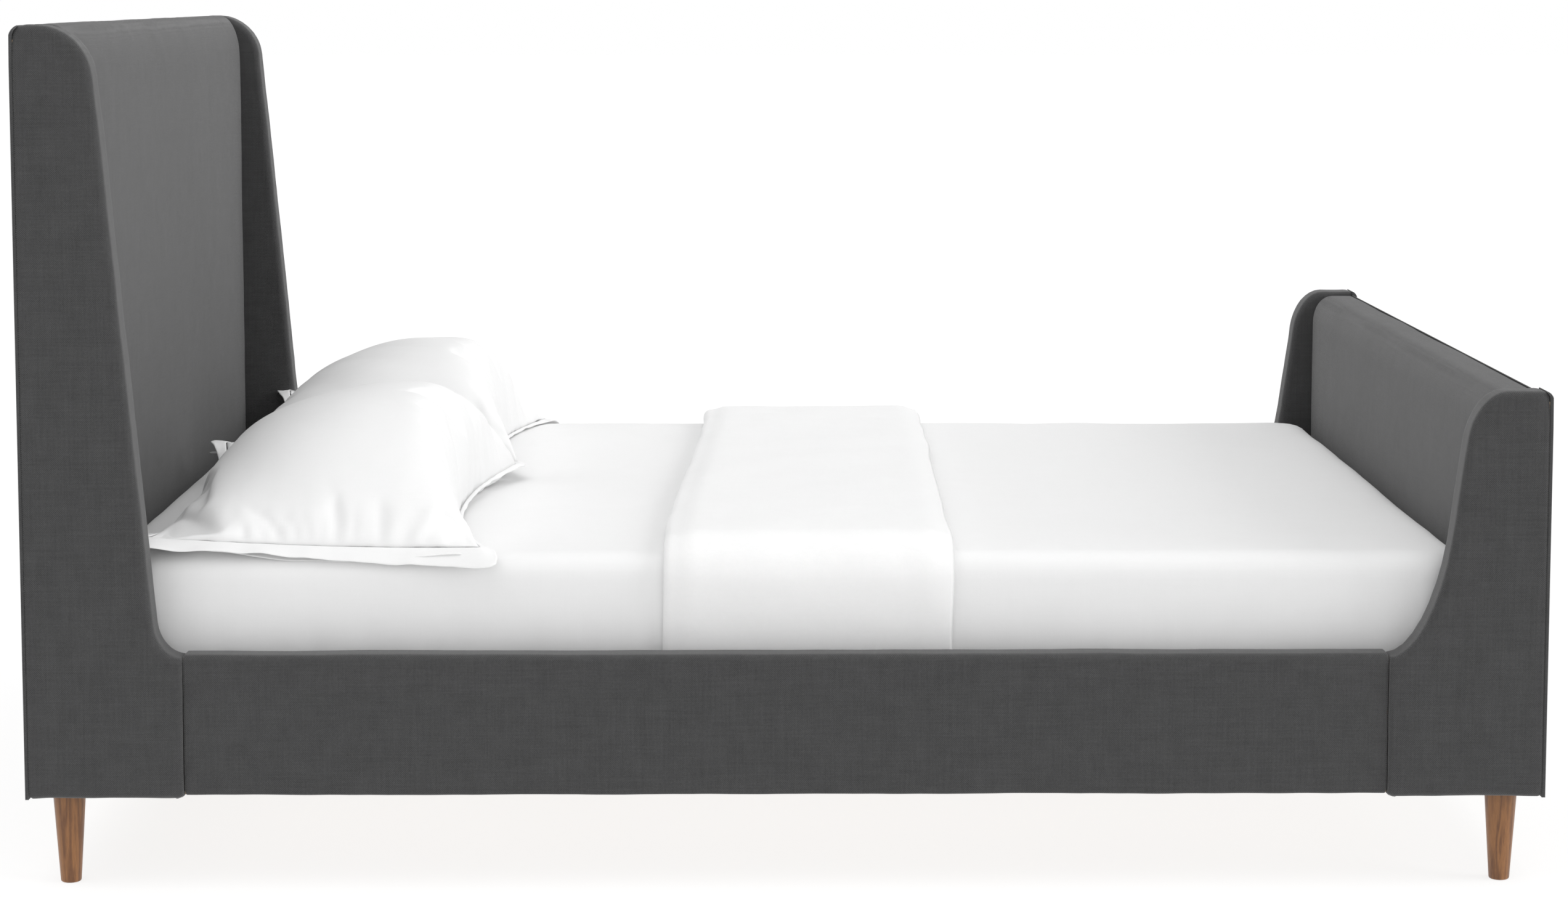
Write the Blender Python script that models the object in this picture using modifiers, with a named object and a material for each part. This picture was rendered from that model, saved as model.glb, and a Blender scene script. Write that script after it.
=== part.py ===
# Upholstered sleigh bed with winged headboard and footboard, made as separate pieces.
# Metres, +Z up. The bed's length runs along X with the headboard at -X, its width along Y,
# and the origin is on the floor under the middle of the bed.
# "Left" and "right" are as seen from the foot of the bed: left is -Y, right is +Y.

import math

import bmesh
import bpy

# ---------------------------------------------------------------- driving dimensions

TOUCH = 0.0003                  # gap left between pieces that touch

MATTRESS_LENGTH = 2.032
MATTRESS_WIDTH = 1.524
MATTRESS_THICKNESS = 0.254
MATTRESS_ROUNDING = 0.030
MATTRESS_END_GAP = 0.01525      # mattress to the pad of each end
MATTRESS_SIDE_GAP = 0.013       # mattress to each side rail
MATTRESS_SINK = 0.115           # how far the mattress drops below the rail tops

LEG_HEIGHT = 0.1355             # floor to the underside of the wings
LEG_TOP_RADIUS = 0.0240
LEG_FOOT_RADIUS = 0.0150
LEG_EDGE = 0.0015
LEG_INSET_X = 0.054             # leg centre to the back of its board
LEG_INSET_Y = 0.055             # leg centre to the outer face of its wing

RAIL_LIFT = 0.0065              # rail underside above the wing underside
RAIL_HEIGHT = 0.208
RAIL_THICKNESS = 0.050          # 5 mm less than a wing, so the rail face is set back
RAIL_ROUNDING = 0.012
RAIL_END_GAP = 0.0012           # open seam between rail and wing

COVER_THICKNESS = 0.004         # fabric and wadding over wings and rails
BACK_COVER_THICKNESS = 0.005
BACK_COVER_DROP = 0.003         # top of a back cover below the rounding of the back edge
PANEL_THICKNESS = 0.018         # timber panel inside each board
PANEL_DROP = 0.030              # top of a panel below the top of its pad
PAD_TUCK = 0.010                # underside of a pad below the slat tops

WING_THICKNESS = 0.055
WING_SHOULDER_DROP = 0.005      # foot of a wing's sweep below the rail top
WING_EDGE = 0.006               # rounding of a wing's bottom front corner

# Sizes of each end that are its own. Depths are measured forward from the back of the board.
HEAD = {
    "name": "headboard",
    "side": -1,                 # the end of the bed along X
    "height": 1.270,            # floor to the top of the wings
    "pad_depth": 0.0845,        # back of the board to the face of its pad
    "pad_dip": 0.0,             # top of the pad below the top of the wings
    "pad_roll": (0.075, 0.035),    # rounding of the pad down its face, and back along its top
    "wing_top": 0.1128,         # depth where the slanted edge would meet the top
    "wing_waist": 0.1964,       # depth where the slanted edge would meet the rail top
    "wing_base": 0.2325,        # depth of the wing beside the rail
    "crown_run": (0.073, 0.073),   # rounding down the slanted edge, and along the top
    "back_round": 0.018,        # rounding of the top back edge
    "sweep_rise": 0.048,        # height of the sweep from the rail into the slanted edge
}
FOOT = {
    "name": "footboard",
    "side": 1,
    "height": 0.738,
    "pad_depth": 0.0880,
    "pad_dip": 0.007,
    "pad_roll": (0.050, 0.035),
    "wing_top": 0.1137,
    "wing_waist": 0.1675,
    "wing_base": 0.2325,
    "crown_run": (0.073, 0.048),
    "back_round": 0.012,
    "sweep_rise": 0.168,
}
CORNER_STEPS = 8                # segments in each large rounded corner
EDGE_STEPS = 3                  # segments in each small rounded corner

SLAT_COUNT = 12
SLAT_WIDTH = 0.075
SLAT_THICKNESS = 0.018
SLAT_END_GAP = 0.004
SLAT_MARGIN = 0.012             # mattress end to the first slat

LEDGER_WIDTH = 0.030
LEDGER_HEIGHT = 0.035

BEAM_WIDTH = 0.045
BEAM_HEIGHT = 0.060
BEAM_SEAT_THICKNESS = 0.003     # steel angle under each end of the beam
BEAM_SEAT_REACH = 0.050
BEAM_SEAT_WIDTH = 0.070

POST_SPACING = 0.700            # between the two posts under the beam
POST_RADIUS = 0.017
POST_FOOT_GAP = 0.012           # room under a post for its foot to screw in
FOOT_RADIUS = 0.022
FOOT_THICKNESS = 0.008
STEM_RADIUS = 0.0050
STEM_CLEARANCE = 0.0004
STEM_LENGTH = 0.050
BORE_HEADROOM = 0.015           # bore left above the stem

BRACKET_LENGTH = 0.120
BRACKET_HEIGHT = 0.060
BRACKET_THICKNESS = 0.003
BOLT_SPACING = 0.070            # the two bolts of a bracket, one each side of the seam
BOLT_RADIUS = 0.0030
BOLT_LENGTH = 0.026             # under the head
BOLT_HEAD_RADIUS = 0.0070
BOLT_HEAD_THICKNESS = 0.0040
BOLT_CLEARANCE = 0.0004

PILLOW_LENGTH = 0.515           # along the bed
PILLOW_WIDTH = 0.765            # across the bed
PILLOW_HEIGHT = 0.185
PILLOW_FLANGE = 0.040
PILLOW_EDGE = 0.012             # thickness of the flange
PILLOW_GAP = 0.006              # between the two pillows
PILLOW_HEAD_GAP = 0.061         # headboard end of the mattress to the pillows

BLANKET_WIDTH = 0.410           # along the bed
BLANKET_START = 0.853           # headboard end of the mattress to the blanket
BLANKET_TOP = 0.034             # folded thickness on top of the mattress
BLANKET_SIDE = 0.0110           # thickness down the mattress sides
BLANKET_DROP = 0.050            # how far it hangs below the rail tops
BLANKET_ROUNDING = 0.045

# ---------------------------------------------------------------- derived places

pad_space = MATTRESS_LENGTH + 2 * MATTRESS_END_GAP
bed_length = pad_space + HEAD["pad_depth"] + FOOT["pad_depth"]
inner_half = MATTRESS_WIDTH / 2 + MATTRESS_SIDE_GAP
rail_outer = inner_half + RAIL_THICKNESS
wing_outer = inner_half + WING_THICKNESS

rail_bottom = LEG_HEIGHT + RAIL_LIFT
rail_top = rail_bottom + RAIL_HEIGHT
slat_top = rail_top - MATTRESS_SINK
slat_bottom = slat_top - SLAT_THICKNESS
support_top = slat_bottom - TOUCH
pad_bottom = slat_top - PAD_TUCK
mattress_bottom = slat_top + TOUCH
mattress_top = mattress_bottom + MATTRESS_THICKNESS
mattress_head = -bed_length / 2 + HEAD["pad_depth"] + MATTRESS_END_GAP
panel_front = BACK_COVER_THICKNESS + TOUCH + PANEL_THICKNESS
beam_bottom = support_top - BEAM_HEIGHT
wing_shoulder = rail_top - WING_SHOULDER_DROP
bracket_middle = slat_top + MATTRESS_SINK / 2


def across(end, depth):
    """X of a point that lies this far forward from the back of an end's board."""
    return end["side"] * (bed_length / 2 - depth)


# ---------------------------------------------------------------- scene and materials

for old_object in list(bpy.data.objects):
    bpy.data.objects.remove(old_object, do_unlink=True)

bed_parts = bpy.data.collections.new("sleigh_bed")
cutters = bpy.data.collections.new("cutters")
bpy.context.scene.collection.children.link(bed_parts)
bpy.context.scene.collection.children.link(cutters)


def new_material(name, colour, roughness, metallic=0.0):
    material = bpy.data.materials.new(name)
    material.use_nodes = True
    shader = material.node_tree.nodes["Principled BSDF"]
    shader.inputs["Base Color"].default_value = (*colour, 1.0)
    shader.inputs["Roughness"].default_value = roughness
    shader.inputs["Metallic"].default_value = metallic
    return material


charcoal_fabric = new_material("charcoal_fabric", (0.082, 0.082, 0.086), 0.95)
white_cotton = new_material("white_cotton", (0.86, 0.86, 0.86), 0.90)
white_quilt = new_material("white_quilt", (0.90, 0.90, 0.90), 0.95)
walnut_wood = new_material("walnut_wood", (0.270, 0.140, 0.070), 0.45)
pale_timber = new_material("pale_timber", (0.600, 0.430, 0.260), 0.60)
zinc_steel = new_material("zinc_steel", (0.560, 0.570, 0.580), 0.35, 1.0)
black_plastic = new_material("black_plastic", (0.020, 0.020, 0.022), 0.50)


# ---------------------------------------------------------------- shape tools


def rounded_path(corners):
    """Points along an open path. A corner is (u, v), or (u, v, run in, run out, steps) to round it
    with a quarter ellipse that leaves the straight sides this far from the corner. A plain corner
    only guides the next rounding where that one starts on it."""
    points = []
    for index, corner in enumerate(corners):
        if len(corner) == 2:
            points.append(corner)
            continue
        u, v, run_in, run_out, steps = corner
        before = unit(corners[index - 1][0] - u, corners[index - 1][1] - v)
        after = unit(corners[index + 1][0] - u, corners[index + 1][1] - v)
        for step in range(steps + 1):
            angle = math.pi / 2 * step / steps
            back = run_in * (1 - math.sin(angle))
            ahead = run_out * (1 - math.cos(angle))
            points.append((u + before[0] * back + after[0] * ahead,
                           v + before[1] * back + after[1] * ahead))
    return [point for point, last in zip(points, [None, *points])
            if last is None or math.dist(point, last) > TOUCH]


def unit(u, v):
    length = math.hypot(u, v)
    return u / length, v / length


def offset_path(points, distance):
    """The open path moved to its left by a distance, its corners kept sharp."""
    headings = [unit(b[0] - a[0], b[1] - a[1]) for a, b in zip(points, points[1:])]
    moved = []
    for index, (u, v) in enumerate(points):
        before = headings[max(index - 1, 0)]
        after = headings[min(index, len(headings) - 1)]
        across_u, across_v = unit(-before[1] - after[1], before[0] + after[0])
        stretch = distance / (across_v * before[0] - across_u * before[1])
        moved.append((u + across_u * stretch, v + across_v * stretch))
    return moved


PLANES = {
    "XZ": (math.pi / 2, 0.0, 0.0),            # u is X and v is Z, the thickness lies along Y
    "YZ": (math.pi / 2, 0.0, math.pi / 2),    # u is Y and v is Z, the thickness lies along X
}


def outline_solid(name, points, plane, start, end, material):
    """A flat outline given a thickness from start to end, square to its plane."""
    curve = bpy.data.curves.new(name, "CURVE")
    curve.dimensions = "2D"
    curve.fill_mode = "BOTH"
    curve.extrude = abs(end - start) / 2
    spline = curve.splines.new("POLY")
    spline.points.add(len(points) - 1)
    for point, (u, v) in zip(spline.points, points):
        point.co = (u, v, 0.0, 1.0)
    spline.use_cyclic_u = True
    guide = bpy.data.objects.new(name + "_outline", curve)
    guide.rotation_euler = PLANES[plane]
    middle = (start + end) / 2
    guide.location = (0.0, middle, 0.0) if plane == "XZ" else (middle, 0.0, 0.0)
    cutters.objects.link(guide)
    bpy.context.view_layer.update()
    solid = meshed(name, guide, material)
    bpy.data.objects.remove(guide, do_unlink=True)
    return solid


def meshed(name, guide, material):
    """A mesh object made from a curve, with its end caps welded on."""
    graph = bpy.context.evaluated_depsgraph_get()
    mesh = bpy.data.meshes.new_from_object(guide.evaluated_get(graph), depsgraph=graph)
    mesh.name = name
    shape = bmesh.new()
    shape.from_mesh(mesh)
    bmesh.ops.remove_doubles(shape, verts=shape.verts, dist=0.00001)
    bmesh.ops.recalc_face_normals(shape, faces=shape.faces)
    shape.to_mesh(mesh)
    shape.free()
    solid = bpy.data.objects.new(name, mesh)
    solid.matrix_world = guide.matrix_world
    return finish(solid, material)


def finish(solid, material):
    solid.data.materials.clear()
    solid.data.materials.append(material)
    bed_parts.objects.link(solid)
    return solid


def box(name, low, high, material, rounding=0.0, steps=2):
    """A block between two opposite corners, its edges rounded if asked."""
    mesh = bpy.data.meshes.new(name)
    shape = bmesh.new()
    bmesh.ops.create_cube(shape, size=1.0)
    size = [b - a for a, b in zip(low, high)]
    bmesh.ops.scale(shape, vec=size, verts=shape.verts)
    shape.to_mesh(mesh)
    shape.free()
    block = bpy.data.objects.new(name, mesh)
    block.location = [(a + b) / 2 for a, b in zip(low, high)]
    if rounding:
        bevel = block.modifiers.new("Bevel", "BEVEL")
        bevel.width = rounding
        bevel.segments = steps
    return finish(block, material)


def turned(name, profile, steps, material):
    """A turned piece about its own Z axis. The profile of (radius, height) points runs from the
    axis at the top, down the outside, and back to the axis at the bottom."""
    mesh = bpy.data.meshes.new(name)
    shape = bmesh.new()
    points = [shape.verts.new((radius, 0.0, height)) for radius, height in profile]
    for upper, lower in zip(points, points[1:]):
        shape.edges.new((upper, lower))
    shape.to_mesh(mesh)
    shape.free()
    piece = bpy.data.objects.new(name, mesh)
    screw = piece.modifiers.new("Screw", "SCREW")
    screw.steps = steps
    screw.render_steps = steps
    screw.use_merge_vertices = True
    screw.merge_threshold = 0.0001
    return finish(piece, material)


def as_cutter(solid):
    """Takes a solid out of the bed, to be used only for cutting."""
    bed_parts.objects.unlink(solid)
    cutters.objects.link(solid)
    solid.hide_render = True
    solid.display_type = "WIRE"
    return solid


def cut(solid, cutter):
    boolean = solid.modifiers.new("Cut", "BOOLEAN")
    boolean.operation = "DIFFERENCE"
    boolean.solver = "EXACT"
    boolean.object = cutter


# ---------------------------------------------------------------- headboard and footboard


def wing_path(end):
    """A wing's edge from the bottom back corner, forward, up the sweep and over to the top back
    corner, as (depth, height) points."""
    lean = (end["wing_waist"] - end["wing_top"]) / (end["height"] - wing_shoulder)
    slant_fall, crown_run = end["crown_run"]
    back = BACK_COVER_THICKNESS + TOUCH
    corners = [
        (back, LEG_HEIGHT),
        (end["wing_base"], LEG_HEIGHT, WING_EDGE, WING_EDGE, EDGE_STEPS),
        (end["wing_base"], wing_shoulder),
        (end["wing_waist"], wing_shoulder, end["wing_base"] - end["wing_waist"], end["sweep_rise"],
         CORNER_STEPS),
        (end["wing_waist"] - lean * (end["height"] - wing_shoulder), end["height"],
         slant_fall, crown_run, CORNER_STEPS),
        (back, end["height"], end["back_round"], end["back_round"], EDGE_STEPS),
        (back, end["height"] - end["back_round"] - COVER_THICKNESS),
    ]
    return rounded_path(corners)


def placed(end, points):
    """(depth, height) points as (X, Z) points of this end of the bed."""
    return [(across(end, depth), height) for depth, height in points]


def open_at_back(path, depth):
    """An inset wing path whose back stands at this depth, below the rounding at its top."""
    return [(depth, path[0][1]), *path[1:], (depth, path[-1][1])]


def make_wing(end, side_name, side, drills):
    """A fabric cover, open at its back, slipped over a timber core."""
    path = wing_path(end)
    name = f"{end['name']}_wing"
    inner, outer = side * inner_half, side * wing_outer
    cover = outline_solid(f"{name}_cover_{side_name}", placed(end, path), "XZ",
                          inner, outer, charcoal_fabric)

    hollow = open_at_back(offset_path(path, COVER_THICKNESS), -COVER_THICKNESS)
    wall = side * COVER_THICKNESS
    hollow_cutter = outline_solid(f"{name}_hollow_{side_name}", placed(end, hollow), "XZ",
                                  inner + wall, outer - wall, charcoal_fabric)
    cut(cover, as_cutter(hollow_cutter))

    core_wall = side * (COVER_THICKNESS + TOUCH)
    core_path = open_at_back(offset_path(path, COVER_THICKNESS + TOUCH), BACK_COVER_THICKNESS + TOUCH)
    core = outline_solid(f"{name}_core_{side_name}", placed(end, core_path), "XZ",
                         inner + core_wall, outer - core_wall, pale_timber)
    for drill in drills:
        cut(cover, drill)
        cut(core, drill)


def make_board(end):
    """The pad, the timber panel and the back cover that stand between and behind the wings."""
    name = end["name"]
    reach = inner_half - TOUCH
    pad_top = end["height"] - end["pad_dip"]
    panel_top = pad_top - PANEL_DROP
    back = BACK_COVER_THICKNESS + TOUCH
    pad_back = panel_front + TOUCH

    pad_path = rounded_path([
        (pad_back, pad_bottom),
        (end["pad_depth"], pad_bottom),
        (end["pad_depth"], pad_top, *end["pad_roll"], CORNER_STEPS),
        (back, pad_top, end["back_round"], end["back_round"], EDGE_STEPS),
        (back, panel_top + TOUCH),
        (pad_back, panel_top + TOUCH),
    ])
    outline_solid(f"{name}_pad", placed(end, pad_path), "XZ", -reach, reach, charcoal_fabric)

    panel_ends = sorted((across(end, back), across(end, panel_front)))
    box(f"{name}_panel", (panel_ends[0], -reach, rail_bottom), (panel_ends[1], reach, panel_top),
        pale_timber)
    cover_ends = sorted((across(end, 0.0), across(end, BACK_COVER_THICKNESS)))
    cover_top = end["height"] - end["pad_dip"] - end["back_round"] - BACK_COVER_DROP
    box(f"{name}_back_cover", (cover_ends[0], -wing_outer, LEG_HEIGHT),
        (cover_ends[1], wing_outer, cover_top), charcoal_fabric)


def make_leg(end, side_name, side):
    height = LEG_HEIGHT - TOUCH
    profile = [
        (0.0, height),
        (LEG_TOP_RADIUS, height),
        (LEG_FOOT_RADIUS, LEG_EDGE),
        (LEG_FOOT_RADIUS - LEG_EDGE, 0.0),
        (0.0, 0.0),
    ]
    leg = turned(f"{end['name']}_leg_{side_name}", profile, 24, walnut_wood)
    leg.location = (across(end, LEG_INSET_X), side * (wing_outer - LEG_INSET_Y), 0.0)


# ---------------------------------------------------------------- side rails and their joints


def rail_ends():
    return (across(HEAD, HEAD["wing_base"] + RAIL_END_GAP),
            across(FOOT, FOOT["wing_base"] + RAIL_END_GAP))


def make_rail(side_name, side, drills):
    """A timber board under a fabric cover that is open below and at both ends."""
    start, end = rail_ends()
    outer_path = rounded_path([
        (side * rail_outer, rail_bottom),
        (side * rail_outer, rail_top, RAIL_ROUNDING, RAIL_ROUNDING, EDGE_STEPS),
        (side * inner_half, rail_top, RAIL_ROUNDING, RAIL_ROUNDING, EDGE_STEPS),
        (side * inner_half, rail_bottom),
    ])
    inner_path = offset_path(outer_path, side * COVER_THICKNESS)
    board_path = offset_path(outer_path, side * (COVER_THICKNESS + TOUCH))
    cover = outline_solid(f"side_rail_cover_{side_name}", outer_path + inner_path[::-1], "YZ",
                          start, end, charcoal_fabric)
    board = outline_solid(f"side_rail_board_{side_name}", board_path, "YZ", start, end, pale_timber)
    for drill in drills:
        cut(cover, drill)
        cut(board, drill)


def bolt_places(end):
    """X of a bracket's two bolts, the first through the wing and the second through the rail."""
    seam = end["wing_base"] + RAIL_END_GAP / 2
    return [across(end, seam - BOLT_SPACING / 2), across(end, seam + BOLT_SPACING / 2)]


def make_drill(name, x, side):
    """A cutter for one bolt hole, through the bracket and blind in the timber behind it."""
    start = side * (inner_half - BRACKET_THICKNESS * 2)
    depth = BOLT_LENGTH + BRACKET_THICKNESS + BOLT_CLEARANCE * 2
    mesh = bpy.data.meshes.new(name)
    shape = bmesh.new()
    radius = BOLT_RADIUS + BOLT_CLEARANCE
    bmesh.ops.create_cone(shape, cap_ends=True, segments=16, radius1=radius, radius2=radius, depth=depth)
    shape.to_mesh(mesh)
    shape.free()
    drill = bpy.data.objects.new(name, mesh)
    drill.rotation_euler = (math.pi / 2, 0.0, 0.0)
    drill.location = (x, start + side * depth / 2, bracket_middle)
    return as_cutter(finish(drill, zinc_steel))


def make_bracket(end, side_name, side, drills):
    """A flat steel plate that joins a rail to its wing on the inner side."""
    seam = across(end, end["wing_base"] + RAIL_END_GAP / 2)
    near = inner_half - TOUCH
    sides = sorted((side * near, side * (near - BRACKET_THICKNESS)))
    plate = box(f"rail_bracket_{end['name']}_{side_name}",
                (seam - BRACKET_LENGTH / 2, sides[0], bracket_middle - BRACKET_HEIGHT / 2),
                (seam + BRACKET_LENGTH / 2, sides[1], bracket_middle + BRACKET_HEIGHT / 2), zinc_steel)
    for drill in drills:
        cut(plate, drill)


def make_bolt(name, x, side):
    """A bolt along Y, its head against the inner face of the bracket."""
    profile = [
        (0.0, BOLT_HEAD_THICKNESS),
        (BOLT_HEAD_RADIUS * 0.8, BOLT_HEAD_THICKNESS),
        (BOLT_HEAD_RADIUS, BOLT_HEAD_THICKNESS * 0.5),
        (BOLT_HEAD_RADIUS, 0.0),
        (BOLT_RADIUS, 0.0),
        (BOLT_RADIUS, -BOLT_LENGTH),
        (0.0, -BOLT_LENGTH),
    ]
    bolt = turned(name, profile, 12, zinc_steel)
    bolt.rotation_euler = (side * math.pi / 2, 0.0, 0.0)
    bolt.location = (x, side * (inner_half - BRACKET_THICKNESS - 2 * TOUCH), bracket_middle)


# ---------------------------------------------------------------- what carries the mattress


def make_ledger(side_name, side):
    sides = sorted((side * (inner_half - TOUCH), side * (inner_half - TOUCH - LEDGER_WIDTH)))
    start = across(HEAD, panel_front + TOUCH)
    end = across(FOOT, panel_front + TOUCH)
    box(f"slat_ledger_{side_name}", (start, sides[0], support_top - LEDGER_HEIGHT),
        (end, sides[1], support_top), pale_timber)


def make_slats():
    first = mattress_head + SLAT_MARGIN
    pitch = (MATTRESS_LENGTH - 2 * SLAT_MARGIN - SLAT_WIDTH) / (SLAT_COUNT - 1)
    reach = inner_half - SLAT_END_GAP
    for index in range(SLAT_COUNT):
        start = first + index * pitch
        box(f"slat_{index + 1:02d}", (start, -reach, slat_bottom), (start + SLAT_WIDTH, reach, slat_top),
            pale_timber)


def make_beam():
    seat_back = panel_front + TOUCH
    beam_end = seat_back + BEAM_SEAT_THICKNESS + TOUCH
    box("centre_beam", (across(HEAD, beam_end), -BEAM_WIDTH / 2, beam_bottom),
        (across(FOOT, beam_end), BEAM_WIDTH / 2, support_top), pale_timber)
    for end in (HEAD, FOOT):
        shelf = beam_bottom - TOUCH
        angle = [
            (seat_back, shelf - BEAM_SEAT_THICKNESS),
            (seat_back + BEAM_SEAT_REACH, shelf - BEAM_SEAT_THICKNESS),
            (seat_back + BEAM_SEAT_REACH, shelf),
            (seat_back + BEAM_SEAT_THICKNESS, shelf),
            (seat_back + BEAM_SEAT_THICKNESS, support_top),
            (seat_back, support_top),
        ]
        outline_solid(f"beam_seat_{end['name']}", placed(end, angle), "XZ",
                      -BEAM_SEAT_WIDTH / 2, BEAM_SEAT_WIDTH / 2, zinc_steel)


def make_post(name, x):
    """A post under the beam with a levelling foot screwed up into it."""
    post_bottom = FOOT_THICKNESS + POST_FOOT_GAP
    bore = STEM_RADIUS + STEM_CLEARANCE
    bore_top = FOOT_THICKNESS + STEM_LENGTH + BORE_HEADROOM
    post_top = beam_bottom - TOUCH
    post_profile = [
        (0.0, post_top),
        (POST_RADIUS, post_top),
        (POST_RADIUS, post_bottom),
        (bore, post_bottom),
        (bore, bore_top),
        (0.0, bore_top),
    ]
    post = turned(f"centre_post_{name}", post_profile, 20, pale_timber)
    post.location = (x, 0.0, 0.0)

    stem_top = FOOT_THICKNESS + STEM_LENGTH
    foot_profile = [
        (0.0, stem_top),
        (STEM_RADIUS, stem_top),
        (STEM_RADIUS, FOOT_THICKNESS),
        (FOOT_RADIUS * 0.7, FOOT_THICKNESS),
        (FOOT_RADIUS, FOOT_THICKNESS * 0.5),
        (FOOT_RADIUS, 0.0),
        (0.0, 0.0),
    ]
    foot = turned(f"levelling_foot_{name}", foot_profile, 20, black_plastic)
    foot.location = (x, 0.0, 0.0)


# ---------------------------------------------------------------- bedding


def make_mattress():
    box("mattress", (mattress_head, -MATTRESS_WIDTH / 2, mattress_bottom),
        (mattress_head + MATTRESS_LENGTH, MATTRESS_WIDTH / 2, mattress_top), white_cotton,
        MATTRESS_ROUNDING, 3)


def make_pillow(side_name, side):
    """A flanged pillow: a flat edge all round and a crown that swells from it."""
    mesh = bpy.data.meshes.new(f"pillow_{side_name}")
    shape = bmesh.new()
    bmesh.ops.create_cube(shape, size=1.0)
    bmesh.ops.scale(shape, vec=(PILLOW_LENGTH, PILLOW_WIDTH, PILLOW_EDGE), verts=shape.verts)
    level_edges = [edge for edge in shape.edges if abs(edge.verts[0].co.z - edge.verts[1].co.z) < TOUCH]
    bmesh.ops.subdivide_edges(shape, edges=level_edges, cuts=9, use_grid_fill=True)
    for vert in shape.verts:
        half_length = PILLOW_LENGTH / 2 - PILLOW_FLANGE
        half_width = PILLOW_WIDTH / 2 - PILLOW_FLANGE
        along = min(abs(vert.co.x) / half_length, 1.0)
        over = min(abs(vert.co.y) / half_width, 1.0)
        crown = math.sqrt((1 - along ** 2.5) * (1 - over ** 2.5))
        if vert.co.z > 0:
            vert.co.z += (PILLOW_HEIGHT - PILLOW_EDGE) * crown
        vert.co.z += PILLOW_EDGE / 2
    shape.to_mesh(mesh)
    shape.free()
    pillow = bpy.data.objects.new(f"pillow_{side_name}", mesh)
    pillow.location = (mattress_head + PILLOW_HEAD_GAP + PILLOW_LENGTH / 2,
                       side * (PILLOW_WIDTH + PILLOW_GAP) / 2, mattress_top + TOUCH)
    finish(pillow, white_cotton)


def make_blanket():
    """A folded blanket laid across the bed and tucked down both sides of the mattress."""
    inner = MATTRESS_WIDTH / 2 + TOUCH
    hem = rail_top - BLANKET_DROP
    under = mattress_top + TOUCH
    outer = inner + BLANKET_SIDE
    outside = rounded_path([
        (outer, hem),
        (outer, under + BLANKET_TOP, BLANKET_ROUNDING, BLANKET_ROUNDING, CORNER_STEPS),
        (-outer, under + BLANKET_TOP, BLANKET_ROUNDING, BLANKET_ROUNDING, CORNER_STEPS),
        (-outer, hem),
    ])
    inside = rounded_path([
        (-inner, hem),
        (-inner, under, MATTRESS_ROUNDING, MATTRESS_ROUNDING, CORNER_STEPS),
        (inner, under, MATTRESS_ROUNDING, MATTRESS_ROUNDING, CORNER_STEPS),
        (inner, hem),
    ])
    start = mattress_head + BLANKET_START
    outline_solid("folded_blanket", outside + inside, "YZ", start, start + BLANKET_WIDTH, white_quilt)


# ---------------------------------------------------------------- assembly

SIDES = (("left", -1), ("right", 1))

for side_name, side in SIDES:
    rail_drills = []
    for end in (HEAD, FOOT):
        hole_names = [f"{end['name']}_{side_name}_{kind}" for kind in ("wing", "rail")]
        drills = [make_drill(f"drill_{hole}", x, side) for hole, x in zip(hole_names, bolt_places(end))]
        make_wing(end, side_name, side, drills[:1])
        make_leg(end, side_name, side)
        make_bracket(end, side_name, side, drills)
        for hole, x in zip(hole_names, bolt_places(end)):
            make_bolt(f"bolt_{hole}", x, side)
        rail_drills += drills[1:]
    make_rail(side_name, side, rail_drills)
    make_ledger(side_name, side)
    make_pillow(side_name, side)

for end in (HEAD, FOOT):
    make_board(end)

make_slats()
make_beam()
make_post("head", -POST_SPACING / 2)
make_post("foot", POST_SPACING / 2)
make_mattress()
make_blanket()
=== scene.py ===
import math

import bmesh
import bpy
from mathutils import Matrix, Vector, noise


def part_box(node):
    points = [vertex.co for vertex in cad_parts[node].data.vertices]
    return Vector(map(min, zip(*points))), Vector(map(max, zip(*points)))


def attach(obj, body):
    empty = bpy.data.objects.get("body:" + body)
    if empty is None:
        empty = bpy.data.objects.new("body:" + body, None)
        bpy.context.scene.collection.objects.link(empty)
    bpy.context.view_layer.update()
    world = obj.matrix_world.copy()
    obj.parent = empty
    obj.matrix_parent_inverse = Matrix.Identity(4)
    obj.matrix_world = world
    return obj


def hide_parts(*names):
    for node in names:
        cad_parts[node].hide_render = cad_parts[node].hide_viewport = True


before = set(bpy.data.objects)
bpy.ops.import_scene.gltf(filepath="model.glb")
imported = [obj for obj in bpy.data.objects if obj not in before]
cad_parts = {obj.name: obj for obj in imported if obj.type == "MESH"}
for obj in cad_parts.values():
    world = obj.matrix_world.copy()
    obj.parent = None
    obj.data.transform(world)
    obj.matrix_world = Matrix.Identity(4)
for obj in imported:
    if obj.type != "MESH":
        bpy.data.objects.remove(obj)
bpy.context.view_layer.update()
bpy.ops.object.select_all(action="DESELECT")

bedSides = (("left", -1), ("right", 1))
bedEnds = (("headboard", 1), ("footboard", -1))     # the way each pad faces along the bed


# camera, light and floor

cameraView = {
    "place": (-0.0376, -5.6189, 1.3211),
    "tiltDown": 5.617,         # degrees
    "turnRight": 0.407,        # degrees towards the footboard
    "lens": 76.26,
    "shiftUp": -0.085,
}


def placeCamera():
    bpy.ops.object.camera_add(location=cameraView["place"])
    camera = bpy.context.object
    camera.name = "bedCamera"
    camera.rotation_euler = (math.radians(90 - cameraView["tiltDown"]), 0,
                             math.radians(-cameraView["turnRight"]))
    camera.data.lens = cameraView["lens"]
    camera.data.shift_y = cameraView["shiftUp"]
    camera.data.clip_end = 200
    bpy.context.scene.camera = camera


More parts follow.
